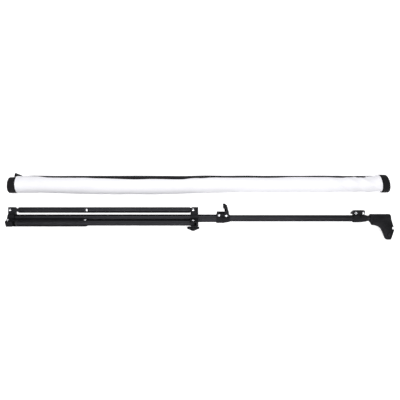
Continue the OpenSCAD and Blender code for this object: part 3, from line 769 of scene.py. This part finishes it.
def lever():
    """Two cheeks and a back that bends over to a claw, with grip ribs across its end. The bolt is at 0, 0."""
    notch = arc(2 * -BOLT_X, 0, 6.8, 180, 0, 10)
    claw = [(-31.5, 11), (-35.5, 9.6), (-43.8, 2.2), (-44.2, -2.8), (-42.4, -4.0)]
    heel = [(6.35, 2.2), (6.45, 4.4), (6.1, 5.8), (5.4, 7.9), (4.5, 10), (2.6, 11)]
    cheek = rounded([*arc(0, 0, 6.0, -125, 0, 9), *heel, *claw, (-35.2, -3.6), *notch, (-20.6, -3.2),
                     (-8, -4.2)], 0.9)
    back = rounded([(2.4, 8.4), (2.4, 10), (1.4, 11), *claw, (-41.0, -3.2), (-40.4, 1.8), (-38.2, 5.0),
                    (-37.0, 6.9), (-33.5, 8.4)], 0.6)
    bolt_hole = bar(across(0, 0), 3.08, -14, 14)
    bm = carve(slab(bmesh.new(), cheek, 9.0, 11.5, 0.6), ("DIFFERENCE", bolt_hole))
    mirrored(bm, bm.faces[:])
    slab(bm, back, -9.4, 9.4, 0.4)
    for k in range(4):
        t = 0.1 + 0.22 * k
        x, y = -35.5 - 8.3 * t, 9.6 - 7.4 * t
        rib = [(x - 0.8, y - 0.7), (x + 0.8, y - 0.3), (x + 0.5, y + 0.55), (x - 0.7, y + 0.2)]
        slab(bm, rib, -8.6, 8.6, 0.2, 1)
    return bm


def clamp_looks(name, end, turn, body, raised):
    """A clamp's bolts and ribs, turned about the column, and its lever, raised by an angle."""
    where = STAND @ shift(end) @ turn_x(turn)
    bolt = where @ shift(BOLT_X, BOLT_R) @ Matrix.Rotation(rad(-raised), 4, "Z")
    put(name + "_bolt_set", clamp_bolts(bmesh.new()), where, "bright_steel", body, f"clamp_{name}_bolts")
    put(name + "_clamp_bosses", boss_ribs(bmesh.new()), where, "moulded_black", body)
    put(name + "_lever_claw", lever(), bolt, "moulded_black", f"{name}_lever", f"lever_{name}")


clamp_looks("lower", BASE_L, 35, "column", 76)
clamp_looks("upper", MIDDLE_END, 0, "middle_section", 0)

# ---------------------------------------------------------------- ribs on the collar
def lug_ribs(bm):
    """Two raised ribs on each side of one of the collar's lugs."""
    for x in (COLLAR_X + 13.0, COLLAR_X + 17.2):
        path = [(x, 24), (x, 33.25), (x, 42.5)]
        both_sides(bm, lambda b: bead(b, path, 0.8, 0.8, lambda u, v: HALF_LUG))


put("collar_ribs", three_ways(bmesh.new(), lug_ribs), STAND, "moulded_black", "collar")

# ---------------------------------------------------------------- the rolled cloth
def curve(x, *points):
    """Smooth values between a few (place, value) points."""
    places, values = np.array([p[0] for p in points], float), np.array([p[1] for p in points], float)
    x = np.clip(np.asarray(x, float), places[0], places[-1])
    i = np.clip(np.searchsorted(places, x, side="right") - 1, 0, len(places) - 2)
    t = (x - places[i]) / (places[i + 1] - places[i])
    t = t * t * (3 - 2 * t)
    return values[i] * (1 - t) + values[i + 1] * t


# Angles around the roll count from its side that faces away from the stand, turned by TILT.
TURNS, INNER_R, OUTER_R = 14, 16.4, 33.4
PITCH = (OUTER_R - INNER_R) / TURNS
ROLL_END = CLOTH_X + CLOTH_L
END_LEAN = 0.17                     # the right end of the roll has slipped out of square
EDGE_R = 34.0                       # where the cloth's free edge lies
HEM_WIDTH, HEM_THICK = 39.0, 0.9    # the black binding on it, folded double
HEM_START = 0.07                    # the angle by which it stands over the edge


def edge_angle(x):
    """Angle from the roll's side to the white cloth's free edge, which wanders along the roll."""
    band = curve(x, (-745, -2), (-655, 0.5), (-590, 4.6), (-470, 5.6), (-395, 8), (-250, 12), (-190, 10.5),
                 (-75, 13), (-12, 7.8), (8, 8.6), (60, 6), (200, 6.2), (270, 7.4), (400, 4.6), (500, 4.8),
                 (575, 7.2), (612, 4.9), (655, 7.6), (690, 0.5), (740, -2))
    return np.sign(band) * np.arccos(1 - np.abs(band) / EDGE_R)


def end_creases(x, angle, side):
    """Creases that run across the wrap near the right end. The wrap below stops them from sinking in."""
    near = curve(x, (-745, 0), (480, 0.1), (570, 1.0), (670, 1.5), (705, 1.2), (722, 0.5), (740, 0.2))
    near = near * (1 - 0.75 * np.clip(side, 0, 1) ** 2)
    crease = (1.5 * np.sin(3.4 * angle - x / 13 + 1.3 * np.sin(x / 40)) + 0.8 * np.sin(5 * angle - x / 9)
              + 0.5 * np.sin(8 * angle - x / 6.4 + 1.0))
    return near * (0.6 * (crease + np.sqrt(crease ** 2 + 0.5)) - 0.8)


def roll_radius(x, angle, inward):
    """Radius of the cloth. inward is 0 on the outermost wrap's end and grows by 1 for each turn below it."""
    r = OUTER_R - PITCH * inward
    outer = np.clip(1.6 - inward, 0, 1)
    side = np.cos(angle)
    top = curve(x, (-745, 2.4), (0, 0), (740, -3.0))
    bottom = curve(x, (-745, -2.6), (-650, -1.4), (-557, 1.2), (-395, 6.2), (-233, 6.3), (-56, 5.6),
                   (-38, 2.9), (60, 1.3), (171, 0.2), (494, 1.0), (740, -0.6))
    r = r + outer * (top * np.clip(side, 0, 1) ** 2 + bottom * np.clip(-side, 0, 1) ** 1.5)
    # long soft waves all along, small tucks at the left end and loose cloth on the stand's side
    ripple = 0.35 * np.sin(x / 61 + 2.3 * angle) + 0.25 * np.sin(x / 27 - 1.7 * angle + 1.0)
    tuck = 0.7 * np.sin(5 * angle + x / 9) * curve(x, (-745, 1.0), (-700, 0.5), (-640, 0), (740, 0))
    loose = curve(x, (-745, 0), (-640, 0.15), (-300, 1.0), (-60, 1.0), (-38, 0), (740, 0))
    sag = 0.9 * np.sin(x / 44 + 1.2 * np.sin(x / 90)) * np.clip(-side, 0, 1) * loose
    # the rim that stands out at the right end
    flare = curve(x, (-745, 0), (712, 0), (722, 1), (736, 1.2), (740, 1.2))
    outward = np.clip(side, 0, 1)
    rim = flare * (3.8 * outward ** 2 + 0.5 * np.sin(9 * angle) + 0.6 * np.sin(angle) * outward)
    return r + outer * (ripple + end_creases(x, angle, side) + tuck + sag + rim)


def lay_uv(bm, x, along):
    """Cloth coordinates for a grid mesh: x for each column and the place along the cloth for each row."""
    uv = bm.loops.layers.uv.new("cloth")
    bm.verts.index_update()
    for face in bm.faces:
        for loop in face.loops:
            row, column = divmod(loop.vert.index, len(x))
            loop[uv].uv = (x[column] * MM, along[row] * MM)


def build_cloth():
    """The white cloth, wound around its core, with more points where it creases."""
    x = np.concatenate([np.linspace(CLOTH_X, CLOTH_X + 90, 12), np.linspace(CLOTH_X + 110, -70, 42),
                        np.linspace(-62, -30, 9), np.linspace(-15, 480, 30), np.linspace(492, 700, 44),
                        np.linspace(703, ROLL_END, 14)])
    last = 1.1          # the outermost turn has finer steps
    turns = np.concatenate([np.linspace(TURNS, last, int((TURNS - last) * 16) + 1),
                            np.linspace(last, 0, 100)[1:]])
    xs, inward = np.meshgrid(x, turns)
    angle = edge_angle(xs) + 2 * math.pi * inward
    r = roll_radius(xs, angle, inward)
    leaning = xs - END_LEAN * curve(xs, (ROLL_END - 110, 0), (ROLL_END, 1)) * r * np.cos(angle)
    height = np.maximum(r * np.sin(angle + TILT), FLOOR_Z)
    points = np.stack([leaning, r * np.cos(angle + TILT), height], axis=-1)
    bm = bmesh.new()
    grid_mesh(bm, points)
    steps = np.linalg.norm(np.diff(points[:, len(x) // 2], axis=0), axis=1)
    along = np.concatenate([[0], np.cumsum(steps)])
    lay_uv(bm, x, along)
    piece = put("wound_cloth", bm, ROLL, "cloth_white", "backdrop", "cloth_roll", plain_smooth=True)
    return piece, along[-1] * MM


cloth, cloth_length = build_cloth()


def strip_section(width, thick, n=10):
    """Cross-section of a folded tape, as (along, height) pairs around it: flat faces and round edges."""
    top = [(width * i / n, thick * (0.5 + 0.5 * min(1, 6 * min(i, n - i) / n))) for i in range(n + 1)]
    under = [(width * (1 - i / n), 0.0) for i in range(n + 1)]
    return top + under


def build_binding():
    """The black hem along the cloth's free edge, with a stitched seam."""
    x = np.linspace(CLOTH_X + 3, 700, 180)
    section = strip_section(HEM_WIDTH, HEM_THICK)
    rows = []
    for s, h in section:
        behind = HEM_START - s / EDGE_R
        angle = edge_angle(x) + behind
        share = s / HEM_WIDTH
        lift = 0.25 + h + 0.25 * np.sin(x / 23) * share + 0.5 * share * (1 + np.sin(x / 37 + 1))
        seam = -0.35 * math.exp(-((s - 4.0) / 1.2) ** 2) * (h > 0.5)
        below = roll_radius(x, angle, 1 + behind / (2 * math.pi))
        r = np.maximum(roll_radius(x, angle, 0.0), below + 0.3) + lift + seam
        rows.append(np.stack([x, r * np.cos(angle + TILT), r * np.sin(angle + TILT)], axis=-1))
    bm = bmesh.new()
    grid_mesh(bm, rows, around=True, caps=True)
    lay_uv(bm, x, [s for s, h in section])
    return put("hem", bm, ROLL, "cloth_black", "backdrop", "edge_binding")


hem = build_binding()


def build_tab():
    """The cloth's standing corner, folded double."""
    corner = [(-13.5, -2), (-12, 3.5), (-10.6, 9), (-8.6, 15.2), (-3, 12.6), (5, 9.4), (14, 5.8), (24.5, 0.4),
              (12, -2)]
    outline = rounded([(CLOTH_X + x, y) for x, y in corner], 1.4)
    bm = slab(bmesh.new(), outline, -0.9, 0.9, 0.6)
    bmesh.ops.triangulate(bm, faces=[f for f in bm.faces if len(f.verts) > 4])
    uv = bm.loops.layers.uv.new("cloth")
    for face in bm.faces:
        for loop in face.loops:
            loop[uv].uv = (loop.vert.co.x * MM, loop.vert.co.y * MM)
    for v in bm.verts:
        v.co.z += 0.05 * max(v.co.y, 0) ** 1.6 * math.sin(v.co.x / 5)
    where = ROLL @ Matrix.Rotation(TILT, 4, "X") @ shift(0, OUTER_R + 1.2)
    return put("cloth_corner", bm, where, "cloth_black", "backdrop", "corner_tab")


tab = build_tab()


def cover_profile(length, radius, round_end):
    """(along, radius) points of an elastic cap, from inside its hemmed mouth to its soft end."""
    mouth = [(8.0, radius - 3.4), (1.0, radius - 4.0), (0.0, radius - 2.4), (0.2, radius - 0.9),
             (1.6, radius - 0.1), (4.4, radius), (5.2, radius - 0.9), (6.4, radius - 0.3)]
    barrel = [(length * 0.4, radius - 0.2), (length * 0.65, radius - 0.3)]
    angles = [k / 8 * math.pi / 2 for k in range(9)]
    shoulder = [(length - round_end * (1 - math.sin(a)), radius - round_end * (1 - math.cos(a)) - 0.3)
                for a in angles]
    flat_r = radius - round_end - 0.3
    return [*mouth, *barrel, *shoulder, (length + 0.1, flat_r * 0.8), (length - 0.2, flat_r * 0.5),
            (length - 0.3, flat_r * 0.2)]


def build_cover(name, start, direction, length, radius, round_end, tilt, lean, node):
    """An elastic fabric cap with gathers. tilt slants it against the roll's side, lean towards its front."""
    n = 96
    bm = bmesh.new()
    rings = []
    for along, around in cover_profile(length, radius, round_end):
        row = []
        for a in (2 * math.pi * i / n for i in range(n)):
            pleat = 0.45 * math.sin(17 * a + 0.8) * min(1.0, along / 6) * (1 - min(1.0, along / length) * 0.4)
            pucker = 0.35 * math.sin(29 * a) * math.exp(-((along - 3) / 4) ** 2)
            r = around + pleat + pucker if around > 8 else around
            slant = r * (tilt * math.cos(a - TILT) + lean * math.sin(a - TILT))
            place = start + direction * along + slant
            row.append(bm.verts.new((place, r * math.cos(a), max(FLOOR_Z, r * math.sin(a)))))
        rings.append(row)
    pole = bm.verts.new((start + direction * (length - 0.3), 0, 0))
    for i in range(n):
        j = (i + 1) % n
        for a, b in zip(rings, rings[1:]):
            bm.faces.new((a[i], a[j], b[j], b[i]))
        bm.faces.new((rings[-1][i], rings[-1][j], pole))
    uv = bm.loops.layers.uv.new("cloth")
    for face in bm.faces:
        for loop in face.loops:
            c = loop.vert.co
            loop[uv].uv = (c.x * MM + 0.4 * c.y * MM, math.atan2(c.z, c.y) * 0.03)
    return put(name, bm, ROLL, "cloth_black", "left_cover" if direction < 0 else "right_cover", node)


left_cap = build_cover("left_cap", CLOTH_X - 0.4, -1, LEFT_L + 3.6, LEFT_R + 1.2, 5.5, 0.05, 0.05,
                       "end_cover_left")
right_cap = build_cover("right_cap", ROLL_END + 0.4, 1, RIGHT_L - 6.5, RIGHT_R + 0.6, 5.5, -END_LEAN, 0.0,
                        "end_cover_right")

# ---------------------------------------------------------------- floor and light
def shader(tree, kind, strength=None, colour=None):
    """A shader node with its strength and colour set."""
    n = tree.nodes.new(kind)
    if strength is not None:
        n.inputs["Strength"].default_value = strength
    if colour is not None:
        n.inputs["Color"].default_value = (*colour, 1)
    return n


def mixed(tree, fac, plain, shown, output):
    """Shows one shader where fac is 1 and the plain one elsewhere."""
    mix = tree.nodes.new("ShaderNodeMixShader")
    tree.links.new(fac, mix.inputs["Fac"])
    tree.links.new(plain.outputs[0], mix.inputs[1])
    tree.links.new(shown.outputs[0], mix.inputs[2])
    tree.links.new(mix.outputs[0], tree.nodes.new(output).inputs["Surface"])


def white_floor():
    """White paper that takes shadows and looks white to the camera and in reflections."""
    mat = bpy.data.materials.new("floor")
    mat.use_nodes = True
    tree = mat.node_tree
    tree.nodes.clear()
    paper = shader(tree, "ShaderNodeBsdfDiffuse", colour=(0.9, 0.9, 0.9))
    glow = shader(tree, "ShaderNodeEmission", strength=0.55)
    both = tree.nodes.new("ShaderNodeAddShader")
    tree.links.new(paper.outputs[0], both.inputs[0])
    tree.links.new(glow.outputs[0], both.inputs[1])
    path = tree.nodes.new("ShaderNodeLightPath")
    seen = tree.nodes.new("ShaderNodeMath")
    seen.operation = "MAXIMUM"
    tree.links.new(path.outputs["Is Camera Ray"], seen.inputs[0])
    tree.links.new(path.outputs["Is Glossy Ray"], seen.inputs[1])
    mixed(tree, seen.outputs[0], paper, both, "ShaderNodeOutputMaterial")
    return mat


def white_room():
    """Even light from all around, and a white background behind the floor."""
    world = bpy.data.worlds.new("studio")
    world.use_nodes = True
    tree = world.node_tree
    tree.nodes.clear()
    room = shader(tree, "ShaderNodeBackground", 0.38, (0.96, 0.95, 1.0))
    page = shader(tree, "ShaderNodeBackground", 1.0, (1, 1, 1))
    path = tree.nodes.new("ShaderNodeLightPath")
    mixed(tree, path.outputs["Is Camera Ray"], room, page, "ShaderNodeOutputWorld")
    return world


FLOOR_HALF = 6      # metres
floor_bm = bmesh.new()
bmesh.ops.create_grid(floor_bm, x_segments=1, y_segments=1, size=FLOOR_HALF)
floor = bpy.data.objects.new("floor", bpy.data.meshes.new("floor"))
floor_bm.to_mesh(floor.data)
floor_bm.free()
bpy.context.scene.collection.objects.link(floor)
floor.data.materials.append(white_floor())
floor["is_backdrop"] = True
bpy.context.scene.world = white_room()


def lamp(name, place, target, size, power, colour=(1, 1, 1)):
    """A rectangular soft light that faces the target. Places are in the stand's frame, in metres."""
    light = bpy.data.lights.new(name, "AREA")
    light.shape = "RECTANGLE"
    light.size, light.size_y = size
    light.energy = power
    light.color = colour
    obj = bpy.data.objects.new(name, light)
    bpy.context.scene.collection.objects.link(obj)
    here, there = (STAND @ Vector(p) for p in (place, target))
    obj.matrix_world = Matrix.Translation(here) @ (there - here).to_track_quat("-Z", "Y").to_matrix().to_4x4()
    return obj


lamp("overhead", (0.75, -0.6, 2.6), (0.75, 0.0, 0.0), (3.4, 0.4), 37)
lamp("key", (0.6, 2.2, 2.2), (0.75, 0.1, 0.0), (2.6, 1.0), 44)
lamp("fill", (0.9, -2.2, 1.5), (0.75, 0.1, 0.0), (2.6, 1.2), 23, (0.96, 0.95, 1.0))

low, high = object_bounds()
